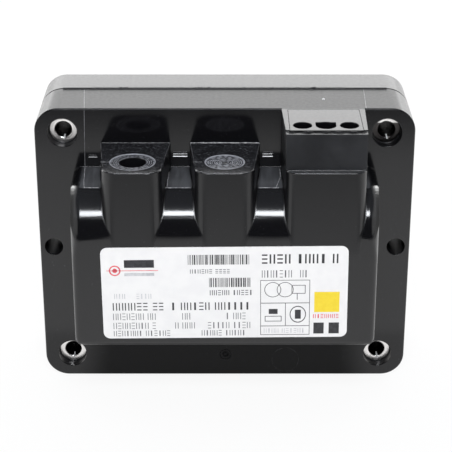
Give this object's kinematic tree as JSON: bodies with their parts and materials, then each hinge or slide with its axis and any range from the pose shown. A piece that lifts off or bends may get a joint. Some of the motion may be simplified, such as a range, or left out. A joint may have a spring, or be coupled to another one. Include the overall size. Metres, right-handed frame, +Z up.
{
  "type": "ignition transformer",
  "caption": "Potted ignition transformer: black moulded case with a barrel-shaped pot, high-voltage socket hood, blank hood, mains socket block, metal mounting eyelets and front label.",
  "frame": {"origin": "centre of the four fixing holes, on the case's flat back face", "axes": "+X across the case towards the mains hood, +Y out of the back face (the front and its label look along -Y), +Z up towards the sockets"},
  "size_m": [0.1264, 0.0632, 0.1005],
  "materials": {
    "case": "black moulded plastic, satin to glossy",
    "insert": "dark grey moulded plastic, satin",
    "sealant": "rough black sealing resin",
    "label": "white printed film, smooth",
    "eyelet": "nickel plated, bright",
    "contact": "turned brass",
    "core": "laminated electrical steel",
    "rivet": "plain steel",
    "bobbin": "natural moulded plastic",
    "winding": "enamelled copper wire, wound",
    "lead_brown": "insulated wire",
    "lead_blue": "insulated wire",
    "lead_green": "insulated wire",
    "lead_white": "insulated wire",
    "resin": "black casting resin"
  },
  "bodies": {
    "root": {"front_shell": "case", "back_shell": "case", "seam_sealant": "sealant", "label": "label", "mains_socket_insert": "insert", "eyelet_top_left": "eyelet", "eyelet_top_right": "eyelet", "eyelet_bottom_left": "eyelet", "eyelet_bottom_right": "eyelet", "line_pin": "contact", "earth_pin": "contact", "neutral_pin": "contact", "hv_terminal": "contact", "core_e_stack": "core", "core_i_stack": "core", "core_rivets": "rivet", "upper_shunt": "core", "lower_shunt": "core", "primary_bobbin": "bobbin", "primary_winding": "winding", "secondary_bobbin": "bobbin", "secondary_winding": "winding", "line_lead": "lead_brown", "neutral_lead": "lead_blue", "earth_lead": "lead_green", "secondary_earth_lead": "lead_green", "hv_lead": "lead_white", "potting_resin": "resin"}
  },
  "joints": []
}
